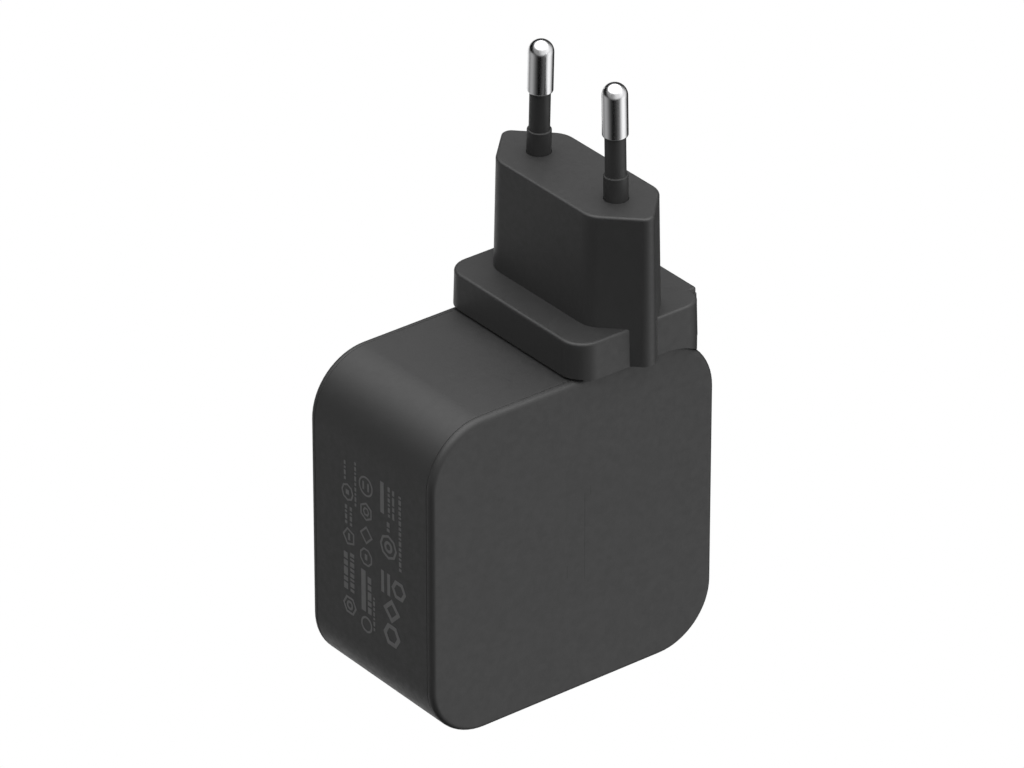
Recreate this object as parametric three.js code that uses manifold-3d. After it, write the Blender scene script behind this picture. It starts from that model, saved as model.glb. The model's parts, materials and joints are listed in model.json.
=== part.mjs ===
// USB wall charger with a clip-on two-pin mains plug.
//
// Millimetres. X runs to the right along the broad front face, Y to the back, and Z up
// towards the pins. The origin is the centre of the bottom face, which holds the sockets.

import * as THREE from 'three';
import { mergeVertices } from 'three/addons/utils/BufferGeometryUtils.js';
import Module from 'manifold-3d';

// ---- Driving sizes ----

// Charger body: a rounded square seen from the front
const BODY_WIDTH = 54;
const BODY_HEIGHT = 54;
const BODY_DEPTH = 30;
const BODY_CORNER = 10;
const BODY_EDGE = 0.9;
const WALL = 2;
const COVER_RIM = 1.1;
const COVER_PLATE = 2;
const COVER_LIP = 1.6;
const LIP_WALL = 1.2;
const SEAM = 0.15;
const FIT = 0.15;

// Plug adapter: a flat base on the charger's top, and a six-sided body above it
const PLUG_FROM_SIDE = 14.8;
const BASE_TO_LEFT = 12.7;
const BASE_TO_SIDE = 2.4;
const BASE_OVERHANG = 1.2;
const BASE_REAR_OVERHANG = 1.6;
const BASE_HEIGHT = 6.4;
const BASE_CORNER = 4;
const BASE_EDGE = 0.5;
const BASE_DRAFT = 1.5;
const PLUG_LENGTH = 35.1;
const PLUG_THICKNESS = 13.7;
const PLUG_HEIGHT = 25;
const PLUG_CHAMFER = 6.2;
const PLUG_NOSE = 1.2;
const LEAST_NOSE = 0.1;
const PLUG_SHOULDER = 4;
const PLUG_EDGE = 0.4;
const PLUG_DRAFT = 1.15;
const ADAPTER_WALL = 1.8;
const ADAPTER_GAP = 0.1;
const SKIRT_INSET = 0.1;

// Mains pins of the adapter
const PIN_SPACING = 18.6;
const PIN_LENGTH = 19;
const PIN_RADIUS = 2;
const PIN_CORE = 1.3;
const PIN_SHANK = 15;
const PIN_LEAN = 1.66;
const SLEEVE_RADIUS = 1.63;
const SLEEVE_HEIGHT = 10.3;
const COLLAR_RADIUS = 1.9;
const COLLAR_HEIGHT = 4;
const COLLAR_CHAMFER = 0.4;

// Flat mains blades of the charger, which the adapter clips over
const BLADE_SPACING = 12.7;
const BLADE_WIDTH = 6.35;
const BLADE_THICKNESS = 1.5;
const BLADE_LENGTH = 17.2;
const BLADE_TAIL = 9;
const DOCK_WIDTH = 12.2;
const DOCK_DEPTH = 19.6;
const DOCK_HEIGHT = 7.3;
const DOCK_FLANGE = 0.8;

// Release tab of the adapter and its latch finger
const TAB_DEPTH = 24.4;
const TAB_THICKNESS = 1.4;
const TAB_LOW = 0.7;
const TAB_PROUD = 1.2;
const TAB_LEAN = 2;
const TAB_CORNER = 0.5;
const BROW_PROUD = 1;
const BROW_THICKNESS = 0.8;
const BROW_EDGE = 0.3;
const TAB_TRAVEL = 0.6;
const TAB_CLEARANCE = 0.2;
const FINGER_DEPTH = 4;
const FINGER_THICKNESS = 0.8;
const STEM_RISE = 1.7;
const STEM_THICKNESS = 1.6;
const FINGER_DIP = 2;
const SPRING_THICKNESS = 0.15;
const SPRING_HEIGHT = 2;

// Spring clips inside the adapter
const CLIP_WIDTH = 5;
const CLIP_LEAF = 0.6;
const CLIP_GAP = 0.15;

// USB sockets in the bottom face
const PORT_SPACING = 14;
const PORT_WIDTH = 8.94;
const PORT_THICKNESS = 3.26;
const PORT_SHEET = 0.3;
const PORT_LENGTH = 7.3;
const PORT_RECESS = 0.4;
const TONGUE_WIDTH = 6.7;
const TONGUE_THICKNESS = 0.7;
const TONGUE_LENGTH = 4.4;
const BEZEL_WIDTH = 30;
const BEZEL_DEPTH = 9;
const BEZEL_CORNER = 2;
const BEZEL_FLANGE = 1;

// Layers behind each cover
const LAYER_GAP = 0.1;
const COVER_AIR = 0.5;
const FILM = 0.4;
const SPREADER = 0.8;
const PAD = 1;
const BOARD = 1.6;
const LAYER_MARGIN = 2.5;
const LAYER_CORNER = 6;

// Components, each as its width and height on the board and its reach from the board
const X_CAPACITOR = [13, 4.6, 10];
const FUSE = [7, 3.6, 4];
const BRIDGE = [8, 7, 2.4];
const SWITCH = [8, 8, 1];
const INDUCTOR = [10, 10, 5];
const CONTROLLER = [3.6, 5, 0.9];
const BULK_RADIUS = 4.75;
const OUTPUT_RADIUS = 3.1;
const OUTPUT_REACH = 9;
const DISC_RADIUS = 3.3;
const DISC_THICKNESS = 2.4;
const CHOKE_INNER = 2.6;
const CHOKE_OUTER = 4.4;
const CHOKE_DEPTH = 3.6;
const WIRE = 0.8;
const TRANSFORMER_WIDTH = 22;
const TRANSFORMER_HEIGHT = 20;
const CORE_LEG = 3.2;
const CORE_CENTRE_LEG = 6;
const BOBBIN_WALL = 0.6;

// Finish of the arcs
const BROAD_ARC = 4;
const SMALL_ARC = 2;
const ROUND_SIDES = 24;

// ---- Places worked out from the sizes ----

const RIGHT = BODY_WIDTH / 2;
const BACK = BODY_DEPTH / 2;
const TOP = BODY_HEIGHT;
const INSIDE_X = RIGHT - WALL;
const INSIDE_Y = BACK - COVER_PLATE;
const INSIDE_TOP = TOP - WALL;
const SEAM_Y = BACK - COVER_RIM;

const PLUG_X = RIGHT - PLUG_FROM_SIDE;
const ADAPTER_LOW = TOP + ADAPTER_GAP;
const PLUG_TOP = TOP + PLUG_HEIGHT;
const BASE_TOP = TOP + BASE_HEIGHT;
const BASE_LEFT = PLUG_X - BASE_TO_LEFT;
const BASE_RIGHT = RIGHT - BASE_TO_SIDE;

const FILM_FACE = INSIDE_Y - COVER_AIR - FILM;
const SPREADER_FACE = FILM_FACE - LAYER_GAP - SPREADER;
const PAD_FACE = SPREADER_FACE - LAYER_GAP - PAD;
const BOARD_BACK = PAD_FACE - LAYER_GAP;
const BOARD_FACE = BOARD_BACK - BOARD;
const PARTS_FRONT = -PAD_FACE + LAYER_GAP;

// ---- Solid modelling helpers ----

const wasm = await Module();
wasm.setup();

function solidOf(geometry) {
  const bare = geometry.clone();
  bare.deleteAttribute('normal');
  bare.deleteAttribute('uv');
  const merged = mergeVertices(bare, 1e-4);
  return new wasm.Manifold(new wasm.Mesh({
    numProp: 3,
    vertProperties: new Float32Array(merged.attributes.position.array),
    triVerts: new Uint32Array(merged.index.array),
  }));
}

function geometryOf(solid) {
  const mesh = solid.getMesh();
  const geometry = new THREE.BufferGeometry();
  geometry.setAttribute('position', new THREE.BufferAttribute(mesh.vertProperties, 3));
  geometry.setIndex(new THREE.BufferAttribute(mesh.triVerts, 1));
  return geometry;
}

function cut(body, ...tools) {
  const left = tools.reduce((rest, tool) => rest.subtract(solidOf(tool)), solidOf(body));
  return geometryOf(left);
}

function join(body, ...additions) {
  const whole = additions.reduce((sum, extra) => sum.add(solidOf(extra)), solidOf(body));
  return geometryOf(whole);
}

function overlap(first, second) {
  return geometryOf(solidOf(first).intersect(solidOf(second)));
}

// Closed outline through convex corners, listed anticlockwise, each rounded by its radius
function outline(corners, radius) {
  const shape = new THREE.Shape();
  corners.forEach((corner, i) => {
    const before = corners[(i + corners.length - 1) % corners.length];
    const after = corners[(i + 1) % corners.length];
    const entering = new THREE.Vector2(corner[0] - before[0], corner[1] - before[1]).normalize();
    const leaving = new THREE.Vector2(after[0] - corner[0], after[1] - corner[1]).normalize();
    const turn = Math.atan2(entering.cross(leaving), entering.dot(leaving));
    const r = Array.isArray(radius) ? radius[i] : radius;
    const setback = r * Math.tan(turn / 2);
    const x = corner[0] - entering.x * setback - entering.y * r;
    const y = corner[1] - entering.y * setback + entering.x * r;
    const start = Math.atan2(-entering.x, entering.y);
    shape.absarc(x, y, r, start, start + turn, false);
  });
  return shape;
}

function rectangle(left, right, low, high, radius) {
  return outline([[left, low], [right, low], [right, high], [left, high]], radius);
}

// Slot with round ends, longer along its first axis
function stadium(x, y, width, height) {
  const shape = new THREE.Shape();
  const r = height / 2;
  const reach = width / 2 - r;
  shape.absarc(x + reach, y, r, -Math.PI / 2, Math.PI / 2, false);
  shape.absarc(x - reach, y, r, Math.PI / 2, Math.PI * 1.5, false);
  return shape;
}

// Extrusion along Z; a fillet rounds the rims at both ends
function upright(shape, low, high, segments = SMALL_ARC, fillet = 0) {
  const geometry = new THREE.ExtrudeGeometry(shape, {
    depth: high - low - 2 * fillet,
    curveSegments: segments,
    bevelEnabled: fillet > 0,
    bevelThickness: fillet,
    bevelSize: fillet,
    bevelOffset: -fillet,
    bevelSegments: 3,
  });
  return geometry.translate(0, 0, low + fillet);
}

// Extrusion along Y of a shape drawn in X and Z
function facing(shape, front, back, segments = SMALL_ARC, fillet = 0) {
  return upright(shape, -back, -front, segments, fillet).rotateX(Math.PI / 2);
}

function block(left, right, front, back, low, high) {
  const box = new THREE.BoxGeometry(right - left, back - front, high - low);
  return box.translate((left + right) / 2, (front + back) / 2, (low + high) / 2);
}

// Box known by its middle in X and Z, its width and height there, and its reach in Y
function brick(x, z, width, height, front, back) {
  return block(x - width / 2, x + width / 2, front, back, z - height / 2, z + height / 2);
}

// Round bar along Z
function rod(x, y, radius, low, high) {
  const bar = new THREE.CylinderGeometry(radius, radius, high - low, ROUND_SIDES);
  return bar.rotateX(Math.PI / 2).translate(x, y, (low + high) / 2);
}

// Round can along Y
function can(x, z, radius, front, back) {
  const drum = new THREE.CylinderGeometry(radius, radius, back - front, ROUND_SIDES);
  return drum.translate(x, (front + back) / 2, z);
}

// Body of revolution about Z, from a profile of [radius, height] points
function turned(profile) {
  const points = profile.map(([r, z]) => new THREE.Vector2(r, z));
  return new THREE.LatheGeometry(points, ROUND_SIDES).rotateX(Math.PI / 2);
}

// Moulding draft: every side leans outwards below the height called top
function drafted(geometry, centreX, halfX, halfY, top, degrees) {
  const lean = Math.tan(THREE.MathUtils.degToRad(degrees));
  const position = geometry.attributes.position;
  for (let i = 0; i < position.count; i += 1) {
    const spread = (top - position.getZ(i)) * lean;
    const x = position.getX(i) - centreX;
    position.setX(i, centreX + x * (1 + spread / halfX));
    position.setY(i, position.getY(i) * (1 + spread / halfY));
  }
  return geometry;
}

// ---- The model ----

const group = new THREE.Group();

const FINISHES = {
  shell: [0x39393a, 0.55, 0],
  blackPlastic: [0x222223, 0.4, 0],
  chrome: [0xd6d7d9, 0.12, 1],
  brass: [0xc9a75a, 0.3, 1],
  steel: [0xb4b6b9, 0.3, 1],
  aluminium: [0xc4c6c8, 0.35, 1],
  board: [0x1f4d33, 0.5, 0],
  ferrite: [0x2c2b2d, 0.7, 0],
  tape: [0xd8b23c, 0.5, 0],
  bobbin: [0x1c1c1e, 0.5, 0],
  copper: [0xb87a3d, 0.3, 1],
  canSleeve: [0x27303f, 0.4, 0],
  filmCapacitor: [0x3a5f8a, 0.5, 0],
  ceramic: [0x3b6ea0, 0.5, 0],
  chip: [0x191a1c, 0.6, 0],
  film: [0xd9d2b8, 0.4, 0],
  pad: [0x8aa0ad, 0.9, 0],
};

function add(name, geometry, finish) {
  const [color, roughness, metalness] = FINISHES[finish];
  const material = new THREE.MeshStandardMaterial({ color, roughness, metalness });
  const mesh = new THREE.Mesh(geometry, material);
  mesh.name = name;
  group.add(mesh);
}

// ---- Charger casing ----

function bodyOutline(inset) {
  const half = RIGHT - inset;
  return rectangle(-half, half, inset, TOP - inset, BODY_CORNER - inset);
}

function frontCover() {
  const rounded = facing(bodyOutline(0), -BACK, BODY_EDGE - SEAM_Y, BROAD_ARC, BODY_EDGE);
  const behindSeam = block(-BODY_WIDTH, BODY_WIDTH, -SEAM_Y, BACK, -TOP, 2 * TOP);
  const face = cut(rounded, behindSeam);
  const lipShape = bodyOutline(WALL + FIT);
  lipShape.holes.push(bodyOutline(WALL + FIT + LIP_WALL));
  const rooted = -BACK + COVER_RIM / 2;
  const step = facing(bodyOutline(WALL + FIT), rooted, -INSIDE_Y, BROAD_ARC);
  const lip = facing(lipShape, rooted, COVER_LIP - INSIDE_Y, BROAD_ARC);
  return join(face, step, lip);
}

function dockOutline(grow) {
  const left = PLUG_X - DOCK_WIDTH / 2 - 0.5 - grow;
  const half = DOCK_DEPTH / 2 + grow;
  return rectangle(left, left + DOCK_WIDTH + 2 * grow, -half, half, 1.5);
}

function bezelOutline(grow) {
  const halfX = BEZEL_WIDTH / 2 + grow;
  const halfY = BEZEL_DEPTH / 2 + grow;
  return rectangle(-halfX, halfX, -halfY, halfY, BEZEL_CORNER);
}

function sideBand() {
  const shape = bodyOutline(0);
  shape.holes.push(bodyOutline(WALL));
  const reach = SEAM_Y - SEAM;
  const ring = facing(shape, -reach, reach, BROAD_ARC);
  const dockOpening = upright(dockOutline(FIT), INSIDE_TOP - 1, TOP + 1);
  const bezelOpening = upright(bezelOutline(FIT), -1, WALL + 1);
  return cut(ring, dockOpening, bezelOpening);
}

const cover = frontCover();
add('front_cover', cover, 'shell');
add('rear_cover', cover.clone().rotateZ(Math.PI), 'shell');
add('side_band', sideBand(), 'shell');

// ---- Sockets in the bottom face ----

const PORTS = [['left', -PORT_SPACING / 2], ['right', PORT_SPACING / 2]];

function portBezel() {
  const face = upright(bezelOutline(0), 0, WALL + FIT);
  const flange = upright(bezelOutline(BEZEL_FLANGE), WALL + FIT, WALL + FIT + BEZEL_FLANGE);
  const slots = PORTS.map(([, x]) => upright(
    stadium(x, 0, PORT_WIDTH + 2 * FIT, PORT_THICKNESS + 2 * FIT), -1, WALL + FIT + BEZEL_FLANGE + 1));
  return cut(join(face, flange), ...slots);
}

function portShell(x) {
  const shape = stadium(x, 0, PORT_WIDTH, PORT_THICKNESS);
  shape.holes.push(stadium(x, 0, PORT_WIDTH - 2 * PORT_SHEET, PORT_THICKNESS - 2 * PORT_SHEET));
  return upright(shape, PORT_RECESS, PORT_RECESS + PORT_LENGTH, BROAD_ARC);
}

// Insulator that fills the back of the shell, with the contact tongue in front of it
function portTongue(x) {
  const width = PORT_WIDTH - 2 * PORT_SHEET - 2 * FIT;
  const thickness = PORT_THICKNESS - 2 * PORT_SHEET - 2 * FIT;
  const back = PORT_RECESS + PORT_LENGTH;
  const front = PORT_RECESS + 1 + TONGUE_LENGTH;
  const plug = upright(stadium(x, 0, width, thickness), front, back);
  const half = TONGUE_THICKNESS / 2;
  const tongue = block(x - TONGUE_WIDTH / 2, x + TONGUE_WIDTH / 2, -half, half, PORT_RECESS + 1, front);
  return join(plug, tongue);
}

add('port_bezel', portBezel(), 'blackPlastic');
PORTS.forEach(([side, x]) => {
  add(`usb_c_shell_${side}`, portShell(x), 'steel');
  add(`usb_c_tongue_${side}`, portTongue(x), 'blackPlastic');
});

// ---- Mains blades and the insulating dock that carries them ----

const DOCK_TOP = TOP - 0.2;
const DOCK_LOW = INSIDE_TOP - DOCK_HEIGHT + WALL;
const BLADES = [['front', -BLADE_SPACING / 2], ['rear', BLADE_SPACING / 2]];
const FINGER_LEFT = PLUG_X + DOCK_WIDTH / 2 - 2;
const FINGER_RIGHT = FINGER_LEFT + FINGER_THICKNESS;
const FINGER_LOW = DOCK_TOP - FINGER_DIP;

function bladeSlot(y, low, high, clearance) {
  const halfX = BLADE_WIDTH / 2 + clearance;
  const halfY = BLADE_THICKNESS / 2 + clearance;
  return block(PLUG_X - halfX, PLUG_X + halfX, y - halfY, y + halfY, low, high);
}

function fingerSlot(low, high) {
  const half = FINGER_DEPTH / 2 + TAB_CLEARANCE;
  const left = FINGER_LEFT - TAB_TRAVEL - TAB_CLEARANCE;
  return block(left, FINGER_RIGHT + TAB_CLEARANCE, -half, half, low, high);
}

// The neck fills the opening in the band; the flange below it stays inside the band's corner
function dockSocket() {
  const neck = upright(dockOutline(0), DOCK_LOW + 1, DOCK_TOP);
  const widest = upright(dockOutline(DOCK_FLANGE), DOCK_LOW, INSIDE_TOP - FIT);
  const inside = facing(bodyOutline(WALL + FIT), -BACK, BACK, BROAD_ARC);
  const flange = overlap(widest, inside);
  const slots = BLADES.map(([, y]) => bladeSlot(y, DOCK_LOW - 1, TOP, FIT));
  return cut(join(neck, flange), ...slots, fingerSlot(FINGER_LOW - 0.5, TOP));
}

function mainsBlade(y) {
  const low = DOCK_TOP - BLADE_TAIL;
  const high = TOP + BLADE_LENGTH;
  const half = BLADE_WIDTH / 2;
  const tip = 1.2;
  const corners = [
    [PLUG_X - half, low],
    [PLUG_X + half, low],
    [PLUG_X + half, high],
    [PLUG_X - half, high],
  ];
  const shape = outline(corners, [0.2, 0.2, tip, tip]);
  return facing(shape, y - BLADE_THICKNESS / 2, y + BLADE_THICKNESS / 2);
}

add('dock_socket', dockSocket(), 'blackPlastic');
BLADES.forEach(([side, y]) => add(`mains_blade_${side}`, mainsBlade(y), 'steel'));

// ---- Layers behind the covers ----

function layer(half, front, back) {
  const middle = TOP / 2;
  const shape = rectangle(-half, half, middle - half, middle + half, LAYER_CORNER);
  return facing(shape, front, back);
}

const LAYER_HALF = Math.min(INSIDE_X, TOP / 2 - WALL) - LAYER_MARGIN;
const PAD_HALF = LAYER_HALF - 6;

add('insulation_film_front', layer(LAYER_HALF, -FILM_FACE - FILM, -FILM_FACE), 'film');
add('insulation_film_rear', layer(LAYER_HALF, FILM_FACE, FILM_FACE + FILM), 'film');
add('heat_spreader_front', layer(LAYER_HALF, -SPREADER_FACE - SPREADER, -SPREADER_FACE), 'aluminium');
add('heat_spreader_rear', layer(LAYER_HALF, SPREADER_FACE, SPREADER_FACE + SPREADER), 'aluminium');
add('thermal_pad_front', layer(PAD_HALF, -PAD_FACE - PAD, -PAD_FACE), 'pad');
add('thermal_pad_rear', layer(PAD_HALF, PAD_FACE, PAD_FACE + PAD), 'pad');

// ---- Boards ----

const BOARD_MARGIN = 1;
const PORT_BOARD_FACE = PORT_THICKNESS / 2 + LAYER_GAP;
const PORT_BOARD = 1.2;
const PORT_BOARD_LOW = WALL + FIT + BEZEL_FLANGE + 0.4;
const PORT_BOARD_HIGH = PORT_BOARD_LOW + 18;
const PORT_BOARD_LEFT = -PORT_SPACING / 2 - 13;
const PORT_BOARD_RIGHT = PORT_SPACING / 2 + 5.4;

// The main board is notched where the dock reaches over it
function mainBoard() {
  const sheet = facing(bodyOutline(WALL + BOARD_MARGIN), BOARD_FACE, BOARD_BACK);
  const clearance = DOCK_FLANGE + BOARD_MARGIN / 2;
  const notch = upright(dockOutline(clearance), DOCK_LOW - BOARD_MARGIN / 2, TOP);
  return cut(sheet, notch);
}
add('main_board', mainBoard(), 'board');

const portBoardShape = rectangle(
  PORT_BOARD_LEFT, PORT_BOARD_RIGHT, PORT_BOARD_LOW, PORT_BOARD_HIGH, 1);
const portBoardBack = PORT_BOARD_FACE + PORT_BOARD;
add('port_board', facing(portBoardShape, PORT_BOARD_FACE, portBoardBack), 'board');

// Row of pins that joins the port board to the main board
function boardHeader() {
  const x = PORT_BOARD_LEFT + 6;
  const z = PORT_BOARD_HIGH - 2;
  const strip = brick(x, z, 10, 2, portBoardBack, portBoardBack + 1.6);
  const pins = [-3, -1, 1, 3].map((step) => brick(
    x + step, z, 0.6, 0.6, portBoardBack + 1.5, BOARD_FACE - LAYER_GAP));
  return join(strip, ...pins);
}
add('board_header', boardHeader(), 'blackPlastic');

// ---- Transformer ----

const TRANSFORMER_X = -INSIDE_X + 16.5;
const TRANSFORMER_Z = INSIDE_TOP - 17;
const WINDING_FRONT = PARTS_FRONT;
const WINDING_BACK = BOARD_FACE - 0.4;
const TRANSFORMER_Y = (WINDING_FRONT + WINDING_BACK) / 2;
const WINDOW = (TRANSFORMER_WIDTH - 2 * CORE_LEG - CORE_CENTRE_LEG) / 2;
const BOBBIN_SPREAD = WINDOW - 0.3;
const CORE_DEPTH = WINDING_BACK - WINDING_FRONT - 2 * BOBBIN_SPREAD;

// Rectangle across the winding's axis, grown evenly about the core's centre leg
function aroundLeg(grow) {
  const halfX = CORE_CENTRE_LEG / 2 + grow;
  const halfY = CORE_DEPTH / 2 + grow;
  const corner = grow / 2;
  return rectangle(
    TRANSFORMER_X - halfX, TRANSFORMER_X + halfX,
    TRANSFORMER_Y - halfY, TRANSFORMER_Y + halfY, corner);
}

function transformerCore() {
  const front = TRANSFORMER_Y - CORE_DEPTH / 2;
  const back = TRANSFORMER_Y + CORE_DEPTH / 2;
  const whole = brick(TRANSFORMER_X, TRANSFORMER_Z, TRANSFORMER_WIDTH, TRANSFORMER_HEIGHT, front, back);
  const offset = CORE_CENTRE_LEG / 2 + WINDOW / 2;
  const windowHeight = TRANSFORMER_HEIGHT - 2 * CORE_LEG;
  const windows = [-offset, offset].map((step) => brick(
    TRANSFORMER_X + step, TRANSFORMER_Z, WINDOW, windowHeight, front - 1, back + 1));
  return cut(whole, ...windows);
}

function transformerBobbin() {
  const half = TRANSFORMER_HEIGHT / 2 - CORE_LEG - 0.1;
  const low = TRANSFORMER_Z - half;
  const high = TRANSFORMER_Z + half;
  const bore = upright(aroundLeg(0.1), low - 1, high + 1);
  const tube = upright(aroundLeg(0.1 + BOBBIN_WALL), low, high);
  const lower = upright(aroundLeg(BOBBIN_SPREAD), low, low + BOBBIN_WALL);
  const upper = upright(aroundLeg(BOBBIN_SPREAD), high - BOBBIN_WALL, high);
  return cut(join(tube, lower, upper), bore);
}

function transformerWinding() {
  const half = TRANSFORMER_HEIGHT / 2 - CORE_LEG - BOBBIN_WALL - 0.3;
  const shape = aroundLeg(BOBBIN_SPREAD - 0.2);
  shape.holes.push(aroundLeg(0.3 + BOBBIN_WALL));
  return upright(shape, TRANSFORMER_Z - half, TRANSFORMER_Z + half);
}

add('transformer_core', transformerCore(), 'ferrite');
add('transformer_bobbin', transformerBobbin(), 'bobbin');
add('transformer_winding', transformerWinding(), 'tape');

// ---- Components on the main board ----

const STAND = BOARD_FACE - LAYER_GAP;
const RIGHT_COLUMN = INSIDE_X - BULK_RADIUS - 1.4;
const bulkPlaces = [
  [RIGHT_COLUMN, DOCK_LOW - BULK_RADIUS - 1.6],
  [RIGHT_COLUMN, DOCK_LOW - 3 * BULK_RADIUS - 2.2],
  [RIGHT_COLUMN - 2 * BULK_RADIUS - 0.8, DOCK_LOW - 2 * BULK_RADIUS - 3],
];
bulkPlaces.forEach(([x, z], i) => {
  add(`bulk_capacitor_${i + 1}`, can(x, z, BULK_RADIUS, PARTS_FRONT + 0.5, STAND), 'canSleeve');
});

const CHOKE_X = INSIDE_X - 6.8;
const CHOKE_Z = WALL + 9.6;
const CHOKE_BACK = STAND - 1;

function chokeCore() {
  const ring = new THREE.Shape();
  ring.absarc(CHOKE_X, CHOKE_Z, CHOKE_OUTER, 0, Math.PI * 2, false);
  const hole = new THREE.Path();
  hole.absarc(CHOKE_X, CHOKE_Z, CHOKE_INNER, 0, Math.PI * 2, true);
  ring.holes.push(hole);
  return facing(ring, CHOKE_BACK - CHOKE_DEPTH, CHOKE_BACK, 12);
}

// Arc-shaped bar of rectangular section about the choke's centre
function chokeArc(inner, outer, from, to, front, back) {
  const shape = new THREE.Shape();
  shape.absarc(CHOKE_X, CHOKE_Z, outer, from, to, false);
  shape.absarc(CHOKE_X, CHOKE_Z, inner, to, from, true);
  return facing(shape, front, back, 5);
}

// Half of the choke's winding: a hollow arc that the core runs through
function chokeWinding(middle) {
  const half = 1.1;
  const gap = 0.15;
  const front = CHOKE_BACK - CHOKE_DEPTH;
  const skin = chokeArc(
    CHOKE_INNER - WIRE, CHOKE_OUTER + WIRE, middle - half, middle + half,
    front - WIRE, CHOKE_BACK + WIRE);
  const hollow = chokeArc(
    CHOKE_INNER - gap, CHOKE_OUTER + gap, middle - half - 0.3, middle + half + 0.3,
    front - gap, CHOKE_BACK + gap);
  return cut(skin, hollow);
}

add('choke_core', chokeCore(), 'ferrite');
add('choke_winding_line', chokeWinding(0), 'copper');
add('choke_winding_neutral', chokeWinding(Math.PI), 'copper');

// Box-shaped component that stands on a board whose face is at y
function component(name, x, z, [width, height, reach], y, finish) {
  add(name, brick(x, z, width, height, y - reach, y), finish);
}

// The strip above the transformer holds the X capacitor and the fuse
const STRIP_Z = (TRANSFORMER_Z + TRANSFORMER_HEIGHT / 2 + INSIDE_TOP) / 2 - 0.4;
const STRIP_RIGHT = TRANSFORMER_X + TRANSFORMER_WIDTH / 2 - 0.3;
const X_CAPACITOR_X = STRIP_RIGHT - X_CAPACITOR[0] / 2;
const FUSE_X = STRIP_RIGHT - X_CAPACITOR[0] - FUSE[0] / 2 - 0.8;
component('x_capacitor', X_CAPACITOR_X, STRIP_Z, X_CAPACITOR, STAND, 'filmCapacitor');
component('fuse', FUSE_X, STRIP_Z, FUSE, STAND, 'ceramic');

// The low parts sit behind the port board
const LOW_ROW = PORT_BOARD_LOW + 8;
component('bridge_rectifier', -8, LOW_ROW, BRIDGE, STAND, 'chip');
component('power_switch', 2.5, LOW_ROW, SWITCH, STAND, 'chip');

// The Y capacitor is a disc that stands on its rim above the choke
const DISC_LOW = CHOKE_Z + CHOKE_OUTER + WIRE + 0.9;
const DISC_Y = STAND - DISC_RADIUS - 0.3;
add('y_capacitor', rod(CHOKE_X, DISC_Y, DISC_RADIUS, DISC_LOW, DISC_LOW + DISC_THICKNESS), 'ceramic');

// ---- Components on the port board ----

const PORT_STAND = PORT_BOARD_FACE - LAYER_GAP;
const PORT_ROW = PORT_RECESS + PORT_LENGTH + 7;
const FIRST_CAN_X = PORT_BOARD_LEFT + OUTPUT_RADIUS + 1.4;
[FIRST_CAN_X, FIRST_CAN_X + 2 * OUTPUT_RADIUS + 1.3].forEach((x, i) => {
  const drum = can(x, PORT_ROW, OUTPUT_RADIUS, PORT_STAND - OUTPUT_REACH, PORT_STAND);
  add(`output_capacitor_${i + 1}`, drum, 'aluminium');
});
component('output_inductor', 2.5, PORT_ROW, INDUCTOR, PORT_STAND, 'ferrite');
component('charge_controller', 10, PORT_ROW, CONTROLLER, PORT_STAND, 'chip');

// ---- Plug adapter ----

const PLUG_HALF_X = PLUG_THICKNESS / 2;
const PLUG_HALF_Y = PLUG_LENGTH / 2;
const BASE_HALF_X = (BASE_RIGHT - BASE_LEFT) / 2;
const BASE_X = (BASE_RIGHT + BASE_LEFT) / 2;
const BASE_FRONT = -BACK - BASE_OVERHANG;
const BASE_REAR = BACK + BASE_REAR_OVERHANG;
const CAVITY_TOP = PLUG_TOP - ADAPTER_WALL;
const TAB_Z = TOP + TAB_LOW;
const BROW_LOW = BASE_TOP - BROW_THICKNESS;
const POCKET_X = BASE_RIGHT - TAB_THICKNESS - TAB_TRAVEL - TAB_CLEARANCE;
const CAVITY_RIGHT = POCKET_X - 1.2;
const PINS = [['front', -1], ['rear', 1]];

// Six-sided outline of the plug at its top face, drawn in by an inset, never to a sharp point
function plugOutline(inset) {
  const x = PLUG_HALF_X - inset;
  const y = PLUG_HALF_Y - inset;
  const slant = Math.min(PLUG_CHAMFER - inset * (2 - Math.SQRT2), x - LEAST_NOSE);
  const corners = [
    [PLUG_X - x + slant, -y],
    [PLUG_X + x - slant, -y],
    [PLUG_X + x, slant - y],
    [PLUG_X + x, y - slant],
    [PLUG_X + x - slant, y],
    [PLUG_X - x + slant, y],
    [PLUG_X - x, y - slant],
    [PLUG_X - x, slant - y],
  ];
  const nose = Math.min(PLUG_NOSE, (x - slant) * 2);
  const side = PLUG_SHOULDER;
  return outline(corners, [nose, nose, side, side, nose, nose, side, side]);
}

function plugSolid(inset, low, high, fillet) {
  const solid = upright(plugOutline(inset), low, high, SMALL_ARC, fillet);
  return drafted(solid, PLUG_X, PLUG_HALF_X, PLUG_HALF_Y, PLUG_TOP, PLUG_DRAFT);
}

function baseSolid(inset, right, low, high, fillet) {
  const shape = rectangle(
    BASE_LEFT + inset, right, BASE_FRONT + inset, BASE_REAR - inset, BASE_CORNER - inset);
  const solid = upright(shape, low, high, BROAD_ARC, fillet);
  return drafted(solid, BASE_X, BASE_HALF_X, BASE_REAR, ADAPTER_LOW, BASE_DRAFT);
}

// Skirt that follows the charger's top corner below the base
function cornerSkirt() {
  const low = TOP - BODY_CORNER / 2;
  const start = RIGHT - 0.7 * BODY_CORNER;
  const half = BACK - 0.4;
  const strip = block(start, RIGHT, -half, half, low, ADAPTER_LOW + 1);
  const plan = upright(
    rectangle(
      BASE_LEFT + SKIRT_INSET, BASE_RIGHT - SKIRT_INSET,
      BASE_FRONT + SKIRT_INSET, BASE_REAR - SKIRT_INSET, BASE_CORNER),
    low - 1, TOP + 2, BROAD_ARC);
  const clearance = facing(bodyOutline(-FIT), -BODY_DEPTH, BODY_DEPTH, BROAD_ARC);
  return cut(overlap(strip, plan), clearance);
}

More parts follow.
